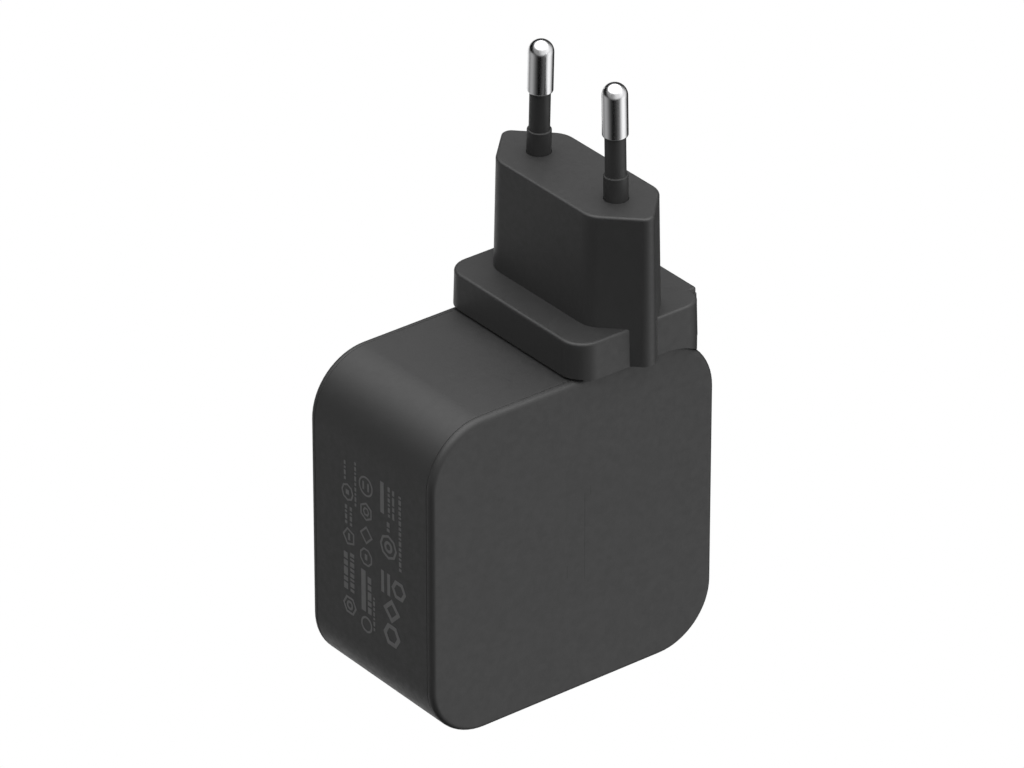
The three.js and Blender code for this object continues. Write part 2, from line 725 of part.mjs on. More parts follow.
function adapterShell() {
  const under = block(-BODY_WIDTH, BODY_WIDTH, -BODY_DEPTH, BODY_DEPTH, TOP - 9, ADAPTER_LOW);
  const base = cut(baseSolid(0, BASE_RIGHT, ADAPTER_LOW - 1, BASE_TOP, BASE_EDGE), under);
  const plug = cut(plugSolid(0, ADAPTER_LOW - 1, PLUG_TOP, PLUG_EDGE), under);
  const baseCavity = baseSolid(ADAPTER_WALL, CAVITY_RIGHT, ADAPTER_LOW - 1, BASE_TOP - ADAPTER_WALL, 0);
  const plugCavity = plugSolid(ADAPTER_WALL, ADAPTER_LOW + 1, CAVITY_TOP, 0);
  const half = TAB_DEPTH / 2;
  const brow = upright(
    rectangle(POCKET_X, BASE_RIGHT + BROW_PROUD, -half, half, TAB_CORNER),
    BROW_LOW, BASE_TOP, SMALL_ARC, BROW_EDGE);
  const pocket = block(
    POCKET_X, RIGHT + 1, -half - TAB_CLEARANCE, half + TAB_CLEARANCE,
    TAB_Z - TAB_CLEARANCE, BROW_LOW);
  const reach = FINGER_DEPTH / 2 + TAB_CLEARANCE;
  const stemLow = TAB_Z + STEM_RISE - TAB_CLEARANCE;
  const stemHigh = stemLow + STEM_THICKNESS + 2 * TAB_CLEARANCE;
  const stemHole = block(CAVITY_RIGHT - 1, POCKET_X + 1, -reach, reach, stemLow, stemHigh);
  const pinHoles = PINS.map(([, side]) => rod(
    PLUG_X, side * PIN_SPACING / 2, COLLAR_RADIUS + FIT, CAVITY_TOP - 1, PLUG_TOP + 1));
  const whole = join(base, plug, cornerSkirt(), brow);
  return cut(whole, baseCavity, plugCavity, pocket, stemHole, ...pinHoles);
}

function bottomPlate() {
  const high = ADAPTER_LOW + 1.3;
  const sheet = baseSolid(ADAPTER_WALL + FIT, CAVITY_RIGHT - FIT, ADAPTER_LOW, high, 0);
  const slots = BLADES.map(([, y]) => bladeSlot(y, TOP - 1, high + 1, 0.3));
  return cut(sheet, ...slots, fingerSlot(TOP - 1, high + 1));
}

// Block inside the plug's top that holds the pins
function pinCarrier() {
  const low = CAVITY_TOP - FIT - 2.6;
  const solid = plugSolid(ADAPTER_WALL + FIT, low, CAVITY_TOP - FIT, 0);
  const holes = PINS.map(([, side]) => {
    const y = side * (PIN_SPACING / 2 + 0.06);
    return rod(PLUG_X, y, COLLAR_RADIUS + FIT, low - 1, PLUG_TOP);
  });
  return cut(solid, ...holes);
}

// The pins lean towards each other, each about its foot on the engagement face
function leaning(geometry, side) {
  const lean = side * THREE.MathUtils.degToRad(PIN_LEAN);
  return geometry.rotateX(lean).translate(PLUG_X, side * PIN_SPACING / 2, PLUG_TOP);
}

function plugPin(side) {
  const tip = PIN_LENGTH - PIN_RADIUS;
  const profile = [[0, -PIN_SHANK], [PIN_CORE, -PIN_SHANK], [PIN_CORE, SLEEVE_HEIGHT]];
  profile.push([PIN_RADIUS - 0.3, SLEEVE_HEIGHT], [PIN_RADIUS, SLEEVE_HEIGHT + 0.3], [PIN_RADIUS, tip]);
  const steps = 5;
  for (let i = 1; i <= steps; i += 1) {
    const angle = (i / steps) * Math.PI / 2;
    const radius = i === steps ? 0 : PIN_RADIUS * Math.cos(angle);
    profile.push([radius, tip + PIN_RADIUS * Math.sin(angle)]);
  }
  return leaning(turned(profile), side);
}

function pinSleeve(side) {
  const low = FIT - ADAPTER_WALL;
  const bore = PIN_CORE + 0.05;
  const high = SLEEVE_HEIGHT - 0.05;
  return leaning(turned([
    [bore, low],
    [COLLAR_RADIUS, low],
    [COLLAR_RADIUS, COLLAR_HEIGHT - COLLAR_CHAMFER],
    [SLEEVE_RADIUS, COLLAR_HEIGHT],
    [SLEEVE_RADIUS, high],
    [bore, high],
    [bore, low],
  ]), side);
}

// Spring clip, open downwards, that grips a blade and rests against the pin's shank
function adapterContact(side) {
  const y = side * BLADE_SPACING / 2;
  const inner = BLADE_THICKNESS / 2 + CLIP_GAP;
  const outer = inner + CLIP_LEAF;
  const low = ADAPTER_LOW + 4;
  const high = TOP + BLADE_LENGTH + 1;
  const half = CLIP_WIDTH / 2;
  const whole = block(PLUG_X - half, PLUG_X + half, y - outer, y + outer, low, high + CLIP_LEAF);
  const mouth = block(PLUG_X - half - 1, PLUG_X + half + 1, y - inner, y + inner, low - 1, high);
  return cut(whole, mouth);
}

// Wedge under the thumb, the stem behind it, and the finger that reaches into the dock
function releaseTab() {
  const half = TAB_DEPTH / 2;
  const back = BASE_RIGHT - TAB_THICKNESS;
  const high = BROW_LOW - FIT;
  const lean = Math.tan(THREE.MathUtils.degToRad(TAB_LEAN)) * (high - TAB_Z);
  const wedge = new THREE.Shape();
  wedge.moveTo(back, TAB_Z);
  wedge.lineTo(BASE_RIGHT + TAB_PROUD, TAB_Z);
  wedge.lineTo(BASE_RIGHT + TAB_PROUD - lean, high);
  wedge.lineTo(back, high);
  wedge.closePath();
  const plan = upright(
    rectangle(BASE_LEFT, BASE_RIGHT + TAB_PROUD, -half, half, TAB_CORNER),
    TOP - 1, BASE_TOP + 1, SMALL_ARC);
  const pad = overlap(facing(wedge, -half, half), plan);
  const reach = FINGER_DEPTH / 2;
  const stemLow = TAB_Z + STEM_RISE;
  const stem = block(FINGER_LEFT, back + 0.5, -reach, reach, stemLow, stemLow + STEM_THICKNESS);
  const finger = block(FINGER_LEFT, FINGER_RIGHT, -reach, reach, FINGER_LOW, stemLow + 0.5);
  return join(pad, stem, finger);
}

// Bowed leaf between the pocket's back wall and the tab
function latchSpring() {
  const wallX = POCKET_X + 0.02;
  const bow = TAB_TRAVEL + TAB_CLEARANCE - SPRING_THICKNESS - 0.06;
  const from = FINGER_DEPTH / 2 + 1.2;
  const to = TAB_DEPTH / 2 - 1;
  const shape = new THREE.Shape();
  const steps = 10;
  const along = (i) => from + (to - from) * (i / steps);
  const rise = (i) => bow * Math.sin(Math.PI * i / steps);
  shape.moveTo(wallX, along(0));
  for (let i = 0; i <= steps; i += 1) {
    shape.lineTo(wallX + rise(i) + SPRING_THICKNESS, along(i));
  }
  for (let i = steps; i > 0; i -= 1) {
    shape.lineTo(wallX + rise(i), along(i));
  }
  shape.closePath();
  const low = TAB_Z + STEM_RISE;
  return upright(shape, low, low + SPRING_HEIGHT);
}

add('adapter_shell', adapterShell(), 'shell');
add('adapter_bottom_plate', bottomPlate(), 'shell');
add('pin_carrier', pinCarrier(), 'blackPlastic');
PINS.forEach(([name, side]) => {
  add(`plug_pin_${name}`, plugPin(side), 'chrome');
  add(`pin_sleeve_${name}`, pinSleeve(side), 'blackPlastic');
  add(`adapter_contact_${name}`, adapterContact(side), 'brass');
});
add('release_tab', releaseTab(), 'shell');
add('latch_spring', latchSpring(), 'steel');

export default group;
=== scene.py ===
import json
import math

import bmesh
import bpy
from mathutils import Matrix, Vector


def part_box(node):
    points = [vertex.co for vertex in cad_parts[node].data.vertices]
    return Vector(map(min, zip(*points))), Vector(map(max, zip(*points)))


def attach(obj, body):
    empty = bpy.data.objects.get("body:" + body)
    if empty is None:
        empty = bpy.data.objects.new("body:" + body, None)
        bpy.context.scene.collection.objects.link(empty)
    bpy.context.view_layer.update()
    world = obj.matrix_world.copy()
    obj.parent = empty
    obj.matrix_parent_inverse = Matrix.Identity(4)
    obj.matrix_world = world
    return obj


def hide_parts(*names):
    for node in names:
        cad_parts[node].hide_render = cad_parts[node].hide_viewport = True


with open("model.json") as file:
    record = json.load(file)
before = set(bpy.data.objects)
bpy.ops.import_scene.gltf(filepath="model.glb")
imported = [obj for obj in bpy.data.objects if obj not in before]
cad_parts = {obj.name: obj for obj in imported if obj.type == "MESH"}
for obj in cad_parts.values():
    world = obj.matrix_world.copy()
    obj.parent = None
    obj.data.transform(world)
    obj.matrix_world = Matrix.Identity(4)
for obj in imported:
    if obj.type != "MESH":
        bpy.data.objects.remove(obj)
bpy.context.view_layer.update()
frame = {"nodes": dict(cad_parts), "record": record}

MM = 0.001
scene = bpy.context.scene

# ---------------------------------------------------------------------------
# Sizes read from the frame
# ---------------------------------------------------------------------------

band_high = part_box("side_band")[1]
front_low, front_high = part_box("front_cover")
adapter_low, adapter_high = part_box("adapter_shell")
tab_low, tab_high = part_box("release_tab")
bezel_low, bezel_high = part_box("port_bezel")
dock_low, dock_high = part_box("dock_socket")

HALF = band_high.x                      # half width of the body
TOP = band_high.z                       # top face of the body
BACK = -front_low.y                     # rear face; the front face is at -BACK
SEAM_EDGE = band_high.y                 # where the band stops short of a cover
PLATE_INSIDE = BACK - 2 * MM            # inner face of a cover's plate
LIP_END = -front_high.y                 # where a cover's lip ends inside the band

CORNER = 10 * MM                        # rounded-square corner
EDGE = 0.88 * MM                        # fillet round the front and rear faces
WALL = 2 * MM
FIT = 0.15 * MM                         # clearance of pieces that fit into each other
RIM = 0.06 * MM                         # tiny radius where two mouldings meet
SEAM_GAP = 0.05 * MM                    # between the band and a cover
DOCK_FLANGE = 0.8 * MM
BEZEL_FLANGE = 1 * MM

# ---------------------------------------------------------------------------
# Mesh helpers
# ---------------------------------------------------------------------------


def new_object(name, bm):
    bmesh.ops.recalc_face_normals(bm, faces=bm.faces)
    mesh = bpy.data.meshes.new(name)
    bm.to_mesh(mesh)
    bm.free()
    obj = bpy.data.objects.new(name, mesh)
    scene.collection.objects.link(obj)
    return obj


def corner_arcs(corners, radii):
    """Arc at each convex corner of an anticlockwise outline: centre, radius, start, turn."""
    arcs = []
    count = len(corners)
    for i, corner in enumerate(corners):
        here = Vector(corner)
        entering = (here - Vector(corners[i - 1])).normalized()
        leaving = (Vector(corners[(i + 1) % count]) - here).normalized()
        turn = math.atan2(entering.x * leaving.y - entering.y * leaving.x, entering.dot(leaving))
        radius = radii[i] if isinstance(radii, (list, tuple)) else radii
        left = Vector((-entering.y, entering.x))
        centre = here - entering * radius * math.tan(turn / 2) + left * radius
        arcs.append((centre, radius, math.atan2(-left.y, -left.x), turn))
    return arcs


def box_arcs(left, right, low, high, radius):
    return corner_arcs([(left, low), (right, low), (right, high), (left, high)], radius)


def round_arcs(x, y, radius):
    """Circle as four quarter arcs."""
    return box_arcs(x - radius, x + radius, y - radius, y + radius, radius)


def outline(arcs, inset, steps):
    """Points of the outline drawn in by an inset, the same number whatever the inset."""
    points = []
    for centre, radius, start, turn in arcs:
        for k in range(steps + 1):
            angle = start + turn * k / steps
            reach = max(radius - inset, 1e-6)
            points.append((centre.x + reach * math.cos(angle), centre.y + reach * math.sin(angle)))
    return points


def along_y(a, b, h):
    return Vector((a, h, b))


def along_z(a, b, h):
    return Vector((a, b, h))


def sweep(name, arcs, profile, place, steps=12, loop=False):
    """Skins a profile of (inset, height) round an outline; open profiles get end caps."""
    bm = bmesh.new()
    rings = []
    for inset, height in profile:
        points = outline(arcs, inset, steps)
        rings.append([bm.verts.new(place(a, b, height)) for a, b in points])
    pairs = list(zip(rings, rings[1:]))
    if loop:
        pairs.append((rings[-1], rings[0]))
    for lower, upper in pairs:
        for i in range(len(lower)):
            j = (i + 1) % len(lower)
            bm.faces.new((lower[i], lower[j], upper[j], upper[i]))
    if not loop:
        bm.faces.new(rings[0])
        bm.faces.new(rings[-1])
    bmesh.ops.remove_doubles(bm, verts=bm.verts, dist=1e-7)
    return new_object(name, bm)


def fillet(inset, height, radius, into, steps=6):
    """Quarter round in a profile, from the side face up to the end face.

    The side face is at inset and the end face at height; into is +1 when the
    end face looks towards greater heights, and -1 when it looks the other way."""
    points = []
    for k in range(steps + 1):
        angle = math.pi / 2 * k / steps
        points.append((
            inset + radius * (1 - math.cos(angle)),
            height - into * radius * (1 - math.sin(angle)),
        ))
    return points


def prism(name, arcs, low, high, place=along_z, steps=8):
    """Straight extrusion of an outline."""
    return sweep(name, arcs, [(0, low), (0, high)], place, steps)


def box(name, low, high):
    bm = bmesh.new()
    bmesh.ops.create_cube(bm, size=1)
    size = Vector(high) - Vector(low)
    middle = (Vector(high) + Vector(low)) / 2
    bmesh.ops.scale(bm, vec=size, verts=bm.verts)
    bmesh.ops.translate(bm, vec=middle, verts=bm.verts)
    return new_object(name, bm)


def apply_modifiers(obj):
    graph = bpy.context.evaluated_depsgraph_get()
    mesh = bpy.data.meshes.new_from_object(obj.evaluated_get(graph))
    old = obj.data
    obj.modifiers.clear()
    obj.data = mesh
    mesh.name = obj.name
    bpy.data.meshes.remove(old)


def boolean(obj, tools, operation="DIFFERENCE"):
    for tool in tools:
        change = obj.modifiers.new("change", "BOOLEAN")
        change.operation = operation
        change.solver = "EXACT"
        change.object = tool
        apply_modifiers(obj)
        bpy.data.objects.remove(tool)
    return obj


def soften(obj, width, segments=3, angle=40):
    """Small rounds on the sharp edges that cuts leave."""
    bevel = obj.modifiers.new("soften", "BEVEL")
    bevel.width = width
    bevel.segments = segments
    bevel.limit_method = "ANGLE"
    bevel.angle_limit = math.radians(angle)
    bevel.use_clamp_overlap = True
    bevel.miter_outer = "MITER_ARC"
    apply_modifiers(obj)
    return obj


def shade(obj, angle=32):
    obj.data.shade_smooth()
    obj.data.set_sharp_from_angle(angle=math.radians(angle))
    weights = obj.modifiers.new("weights", "WEIGHTED_NORMAL")
    weights.keep_sharp = True
    weights.weight = 50
    apply_modifiers(obj)
    return obj


def finish_piece(obj, material, body, node=None):
    obj.data.materials.clear()
    obj.data.materials.append(material)
    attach(obj, body)
    if node:
        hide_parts(node)
    return obj


# ---------------------------------------------------------------------------
# Materials
# ---------------------------------------------------------------------------


class Nodes:
    """Short names for building one node material."""

    def __init__(self, name):
        self.material = bpy.data.materials.new(name)
        self.material.use_nodes = True
        self.tree = self.material.node_tree
        self.shader = self.tree.nodes["Principled BSDF"]
        self.place = self.add("ShaderNodeTexCoord").outputs["Object"]

    def add(self, kind, **settings):
        node = self.tree.nodes.new(kind)
        for key, value in settings.items():
            setattr(node, key, value)
        return node

    def link(self, source, target):
        self.tree.links.new(source, target)

    def noise(self, scale, detail=3.0, roughness=0.5, stretch=None):
        node = self.add("ShaderNodeTexNoise")
        node.inputs["Scale"].default_value = scale
        node.inputs["Detail"].default_value = detail
        node.inputs["Roughness"].default_value = roughness
        source = self.place
        if stretch:
            mapping = self.add("ShaderNodeMapping")
            mapping.inputs["Scale"].default_value = stretch
            self.link(self.place, mapping.inputs["Vector"])
            source = mapping.outputs["Vector"]
        self.link(source, node.inputs["Vector"])
        return node.outputs["Fac"]

    def ramp(self, source, stops):
        node = self.add("ShaderNodeValToRGB")
        elements = node.color_ramp.elements
        while len(elements) < len(stops):
            elements.new(0.5)
        for element, (position, color) in zip(elements, stops):
            element.position = position
            element.color = (*color, 1)
        self.link(source, node.inputs["Fac"])
        return node.outputs["Color"]

    def span(self, source, low, high, start=0.3, end=0.7):
        node = self.add("ShaderNodeMapRange")
        node.inputs["From Min"].default_value = start
        node.inputs["From Max"].default_value = end
        node.inputs["To Min"].default_value = low
        node.inputs["To Max"].default_value = high
        self.link(source, node.inputs["Value"])
        return node.outputs["Result"]

    def bump(self, source, strength, distance, under=None):
        node = self.add("ShaderNodeBump")
        node.inputs["Strength"].default_value = strength
        node.inputs["Distance"].default_value = distance
        self.link(source, node.inputs["Height"])
        if under is not None:
            self.link(under, node.inputs["Normal"])
        return node.outputs["Normal"]


def tint(color, factor):
    return tuple(min(1.0, c * factor) for c in color)


def moulded(name, color, roughness=0.5, grain=0.16, specular=0.5, coarse=0.05):
    """Spark-eroded matte plastic: fine grain, faint cloudiness, slight gloss variation."""
    n = Nodes(name)
    fine = n.noise(2600, 2.0, 0.6)
    cloud = n.noise(55, 3.0, 0.55)
    speck = n.noise(900, 4.0, 0.65)
    n.link(n.ramp(cloud, [(0.3, tint(color, 0.97)), (0.7, tint(color, 1.03))]),
           n.shader.inputs["Base Color"])
    n.link(n.span(speck, roughness - 0.05, roughness + 0.07), n.shader.inputs["Roughness"])
    under = n.bump(cloud, coarse, 0.06 * MM)
    n.link(n.bump(fine, grain, 0.05 * MM, under), n.shader.inputs["Normal"])
    n.shader.inputs["Specular IOR Level"].default_value = specular
    return n.material


def metal(name, color, roughness=0.2, brushed=0.0, stretch=(1, 1, 0.04)):
    """Metal with fine drawn lines and a slight unevenness in its gloss."""
    n = Nodes(name)
    lines = n.noise(2400, 3.0, 0.6, stretch)
    cloud = n.noise(160, 3.0, 0.5)
    n.link(n.ramp(cloud, [(0.3, tint(color, 0.97)), (0.7, tint(color, 1.02))]),
           n.shader.inputs["Base Color"])
    n.link(n.span(lines, roughness * 0.85, roughness * 1.25), n.shader.inputs["Roughness"])
    n.link(n.bump(lines, brushed, 0.01 * MM), n.shader.inputs["Normal"])
    n.shader.inputs["Metallic"].default_value = 1.0
    return n.material


def circuit_board(name, mask, copper):
    """Solder mask in blocks of two greens, with copper lines between them."""
    n = Nodes(name)
    tracks = n.add("ShaderNodeTexBrick")
    tracks.inputs["Scale"].default_value = 160
    tracks.inputs["Mortar Size"].default_value = 0.02
    tracks.inputs["Color1"].default_value = (*mask, 1)
    tracks.inputs["Color2"].default_value = (*tint(mask, 1.5), 1)
    tracks.inputs["Mortar"].default_value = (*copper, 1)
    n.link(n.place, tracks.inputs["Vector"])
    n.link(tracks.outputs["Color"], n.shader.inputs["Base Color"])
    n.link(n.span(n.noise(700), 0.3, 0.5), n.shader.inputs["Roughness"])
    n.link(n.bump(tracks.outputs["Fac"], 0.3, 0.03 * MM), n.shader.inputs["Normal"])
    return n.material


def wound(name, color, turns):
    """Tape or wire laid in turns: fine ridges across one direction."""
    n = Nodes(name)
    wave = n.add("ShaderNodeTexWave", bands_direction="Z")
    wave.inputs["Scale"].default_value = turns
    wave.inputs["Distortion"].default_value = 0.6
    n.link(n.place, wave.inputs["Vector"])
    n.link(n.ramp(wave.outputs["Fac"], [(0.1, tint(color, 0.75)), (0.8, color)]),
           n.shader.inputs["Base Color"])
    n.link(n.bump(wave.outputs["Fac"], 0.4, 0.05 * MM), n.shader.inputs["Normal"])
    n.link(n.span(n.noise(800), 0.3, 0.45), n.shader.inputs["Roughness"])
    return n.material


BODY_GREY = (0.0268, 0.0268, 0.0268)
ADAPTER_GREY = (0.0275, 0.0275, 0.0275)

shell_plastic = moulded("shell_plastic", BODY_GREY, roughness=0.5)
cover_plastic = moulded("cover_plastic", BODY_GREY, roughness=0.5)
adapter_plastic = moulded("adapter_plastic", ADAPTER_GREY, roughness=0.48)
sleeve_plastic = moulded("sleeve_plastic", (0.022, 0.022, 0.022), roughness=0.5, grain=0.1)
insulator = moulded("insulator", (0.02, 0.02, 0.021), roughness=0.42, grain=0.1)
print_ink = moulded("print_ink", (0.115, 0.115, 0.115), roughness=0.55, grain=0.1)
# Body grey darkened: painted shade standing in for the shade inside shallow debossed lines on the
# front face
painted_groove_shade = moulded("painted_groove_shade", tint(BODY_GREY, 0.72), roughness=0.5, grain=0.1)
nickel = metal("nickel", (0.83, 0.83, 0.84), roughness=0.2, brushed=0.1)
steel = metal("steel", (0.62, 0.63, 0.65), roughness=0.28, brushed=0.3)

SLOT_MATERIALS = {
    "shell": shell_plastic,
    "shell_cover": cover_plastic,
    "adapter_plastic": adapter_plastic,
    "black_plastic": insulator,
    "chrome": nickel,
    "brass": metal("brass", (0.66, 0.5, 0.24), roughness=0.3, brushed=0.2),
    "steel": steel,
    "aluminium": metal("aluminium", (0.7, 0.71, 0.72), roughness=0.35, brushed=0.3),
    "board": circuit_board("board", (0.012, 0.075, 0.035), (0.35, 0.22, 0.08)),
    "ferrite": moulded("ferrite", (0.028, 0.027, 0.029), roughness=0.7, grain=0.5),
    "tape": wound("tape", (0.62, 0.4, 0.05), 90),
    "copper": wound("copper", (0.5, 0.19, 0.06), 300),
    "capacitor_sleeve": moulded(
        "capacitor_sleeve", (0.015, 0.022, 0.045), roughness=0.3, grain=0.05),
    "component_case": moulded("component_case", (0.035, 0.11, 0.25), roughness=0.4, grain=0.15),
    "chip": moulded("chip", (0.012, 0.012, 0.013), roughness=0.6, grain=0.3),
    "film": moulded("film", (0.55, 0.5, 0.38), roughness=0.35, grain=0.05),
    "pad": moulded("pad", (0.22, 0.3, 0.36), roughness=0.8, grain=0.3),
}

slot_of = {row["node"]: row["material_slot"] for row in frame["record"]["subparts"]}
for node_name, node_object in frame["nodes"].items():
    obj = bpy.data.objects[node_object] if isinstance(node_object, str) else node_object
    obj.data.materials.clear()
    obj.data.materials.append(SLOT_MATERIALS[slot_of[node_name]])

# ---------------------------------------------------------------------------
# Charger casing
# ---------------------------------------------------------------------------

body_arcs = box_arcs(-HALF, HALF, 0, TOP, CORNER)


def make_cover(name, side):
    """Cover with its rounded face, the rim that meets the band, the step and the lip."""
    face = side * BACK
    rim_end = side * (SEAM_EDGE + SEAM_GAP)
    inside = side * PLATE_INSIDE
    lip_end = side * LIP_END
    step = WALL + FIT
    lip = step + 1.2 * MM
    profile = [(4 * MM, face), (EDGE + 0.8 * MM, face), (EDGE + 0.2 * MM, face)]
    profile += list(reversed(fillet(0, face, EDGE, side, 10)))
    profile += fillet(0, rim_end, RIM, -side, 3)
    profile += [(RIM + 0.15 * MM, rim_end), (step, rim_end), (step, lip_end)]
    profile += [(lip, lip_end), (lip, inside), (lip + 0.5 * MM, inside)]
    return sweep(name, body_arcs, profile, along_y, 16)


def make_band():
    """Ring between the covers, with openings for the dock and the socket bezel."""
    edge = SEAM_EDGE
    profile = list(reversed(fillet(0, -edge, RIM, -1, 3)))
    profile += [(0, -0.6 * edge), (0, 0.6 * edge)]
    profile += fillet(0, edge, RIM, 1, 3)
    profile += [(WALL, edge), (WALL, -edge)]
    band = sweep("side_band_shell", body_arcs, profile, along_y, 16, loop=True)
    dock = box_arcs(
        dock_low.x + DOCK_FLANGE - FIT, dock_high.x - DOCK_FLANGE + FIT,
        dock_low.y + DOCK_FLANGE - FIT, dock_high.y - DOCK_FLANGE + FIT, 1.5 * MM)
    bezel = box_arcs(
        bezel_low.x + BEZEL_FLANGE - FIT, bezel_high.x - BEZEL_FLANGE + FIT,
        bezel_low.y + BEZEL_FLANGE - FIT, bezel_high.y - BEZEL_FLANGE + FIT, 2 * MM)
    boolean(band, [
        prism("dock_cut", dock, TOP - 3 * WALL, TOP + WALL),
        prism("bezel_cut", bezel, -WALL, 2 * WALL),
    ])
    return band


for cover_name, cover_side in (("front_cover", -1), ("rear_cover", 1)):
    cover = make_cover(cover_name + "_shell", cover_side)
    shade(cover)
    finish_piece(cover, cover_plastic, "charger", cover_name)

band = shade(make_band())
finish_piece(band, shell_plastic, "charger", "side_band")

# ---------------------------------------------------------------------------
# Plug adapter
# ---------------------------------------------------------------------------

PLUG_X = HALF - 14.8 * MM
PLUG_TOP = adapter_high.z
ADAPTER_FLOOR = TOP + 0.1 * MM
BASE_TOP = TOP + 6.4 * MM
BASE_LEFT = adapter_low.x
BASE_RIGHT = HALF - 2.33 * MM
BASE_FRONT = -BACK - 1.2 * MM
BASE_REAR = BACK + 1.7 * MM
BASE_CORNER = 4 * MM
BASE_EDGE = 0.45 * MM
BASE_DRAFT = math.tan(math.radians(1.5))
PLUG_HALF_X = 6.85 * MM
PLUG_HALF_Y = 17.55 * MM
PLUG_CHAMFER = 6.2 * MM
PLUG_EDGE = 0.4 * MM
PLUG_DRAFT = math.tan(math.radians(1.1))
ADAPTER_WALL = 1.8 * MM
PIN_OFFSET = 9.3 * MM                   # of each pin's foot from the middle of the plug
PIN_LEAN = math.radians(1.66)


def plug_arcs(inset=0.0):
    x = PLUG_HALF_X - inset
    y = PLUG_HALF_Y - inset
    slant = min(PLUG_CHAMFER - inset * (2 - math.sqrt(2)), x - 0.1 * MM)
    corners = [
        (PLUG_X - x + slant, -y), (PLUG_X + x - slant, -y),
        (PLUG_X + x, slant - y), (PLUG_X + x, y - slant),
        (PLUG_X + x - slant, y), (PLUG_X - x + slant, y),
        (PLUG_X - x, y - slant), (PLUG_X - x, slant - y),
    ]
    nose = 0.98 * (x - slant) / math.tan(math.pi / 8)
    shoulder = 4 * MM
    return corner_arcs(corners, [nose, nose, shoulder, shoulder] * 2)


def leaning_profile(low, high, top, lean, edge):
    """Wall that leans outwards below the height called top, with a rounded upper rim."""
    profile = [(-(top - low) * lean, low)]
    if edge:
        below = -(top - high + edge) * lean
        profile.append((below, high - edge - 0.6 * MM))
        profile += fillet(below, high, edge, 1, 6)
        profile.append((below + edge + 0.3 * MM, high))
    else:
        profile.append((-(top - high) * lean, high))
    return profile


def plug_solid(name, inset, low, high, edge):
    profile = leaning_profile(low, high, PLUG_TOP, PLUG_DRAFT, edge)
    return sweep(name, plug_arcs(inset), profile, along_z, 10)


def base_solid(name, inset, right, low, high, edge):
    arcs = box_arcs(
        BASE_LEFT + inset, right, BASE_FRONT + inset, BASE_REAR - inset, BASE_CORNER - inset)
    profile = leaning_profile(low, high, ADAPTER_FLOOR, BASE_DRAFT, edge)
    return sweep(name, arcs, profile, along_z, 14)


def corner_skirt():
    """Continues the wall down over the rounded corner of the body."""
    inset = 0.03 * MM
    arcs = box_arcs(
        BASE_LEFT + inset, BASE_RIGHT - inset, BASE_FRONT + inset, BASE_REAR - inset, BASE_CORNER)
    skirt = prism("skirt", arcs, TOP - 5 * MM, ADAPTER_FLOOR + 0.4 * MM, steps=14)
    keep = box("keep", (HALF - CORNER, -HALF, TOP - 6 * MM), (HALF, HALF, TOP + 2 * MM))
    boolean(skirt, [keep], "INTERSECT")
    gap = 0.02 * MM
    grown = box_arcs(-HALF - gap, HALF + gap, -gap, TOP + gap, CORNER + gap)
    return boolean(skirt, [prism("body_clearance", grown, -2 * BACK, 2 * BACK, along_y, steps=24)])


def shadow_gap():
    """Undercut along the foot of the wall that stands over the body's top."""
    arcs = box_arcs(BASE_LEFT, BASE_RIGHT, BASE_FRONT, BASE_REAR, BASE_CORNER)
    depth = 0.9 * MM
    low, high = ADAPTER_FLOOR - MM, ADAPTER_FLOOR + 0.32 * MM
    profile = [(-MM, low), (depth, low), (depth, high), (-MM, high)]
    ring = sweep("shadow_gap", arcs, profile, along_z, 14, loop=True)
    reach = BACK + 0.5 * MM
    keep = box("keep_left", (BASE_LEFT - 2 * MM, -reach, low - MM), (PLUG_X, reach, high + MM))
    return boolean(ring, [keep], "INTERSECT")


TAB_GAP = 0.2 * MM
TAB_BOTTOM = TOP + 0.7 * MM
TAB_TOP = tab_high.z
POCKET_X = BASE_RIGHT - 2.2 * MM
CAVITY_RIGHT = POCKET_X - 1.2 * MM
BROW_LOW = BASE_TOP - 0.8 * MM
BROW_EDGE = 0.3 * MM
TAB_CORNER = 0.5 * MM
STEM_LOW = TAB_BOTTOM + 1.7 * MM
STEM_HIGH = STEM_LOW + 1.6 * MM
FINGER_HALF = 2 * MM                    # half depth of the latch finger and its stem


def make_brow():
    """Ledge of the base that reaches out over the release tab."""
    arcs = box_arcs(POCKET_X, adapter_high.x, tab_low.y, tab_high.y, TAB_CORNER)
    profile = [(0, BROW_LOW), *fillet(0, BASE_TOP, BROW_EDGE, 1, 5), (2 * BROW_EDGE, BASE_TOP)]
    return sweep("brow", arcs, profile, along_z, 6)


def make_adapter_shell():
    adapter = base_solid("adapter_shell_body", 0, BASE_RIGHT, ADAPTER_FLOOR, BASE_TOP, BASE_EDGE)
    plug = plug_solid("plug", 0, ADAPTER_FLOOR, PLUG_TOP, PLUG_EDGE)
    boolean(adapter, [plug, corner_skirt(), make_brow()], "UNION")
    cavity = base_solid(
        "cavity", ADAPTER_WALL, CAVITY_RIGHT, ADAPTER_FLOOR - MM, BASE_TOP - ADAPTER_WALL, 0)
    bore = plug_solid("bore", ADAPTER_WALL, ADAPTER_FLOOR + MM, PLUG_TOP - ADAPTER_WALL, 0)
    half = tab_high.y + TAB_GAP
    pocket = box("pocket", (POCKET_X, -half, TAB_BOTTOM - TAB_GAP), (HALF, half, BROW_LOW))
    stem = box(
        "stem_hole", (CAVITY_RIGHT - MM, -FINGER_HALF - TAB_GAP, STEM_LOW - TAB_GAP),
        (POCKET_X + MM, FINGER_HALF + TAB_GAP, STEM_HIGH + TAB_GAP))
    holes = []
    for side in (-1, 1):
        ring = round_arcs(PLUG_X, side * PIN_OFFSET, 1.97 * MM)
        holes.append(prism("pin_hole", ring, PLUG_TOP - 3 * MM, PLUG_TOP + MM, steps=10))
    boolean(adapter, [cavity, bore, pocket, stem, shadow_gap(), *holes])
    return adapter


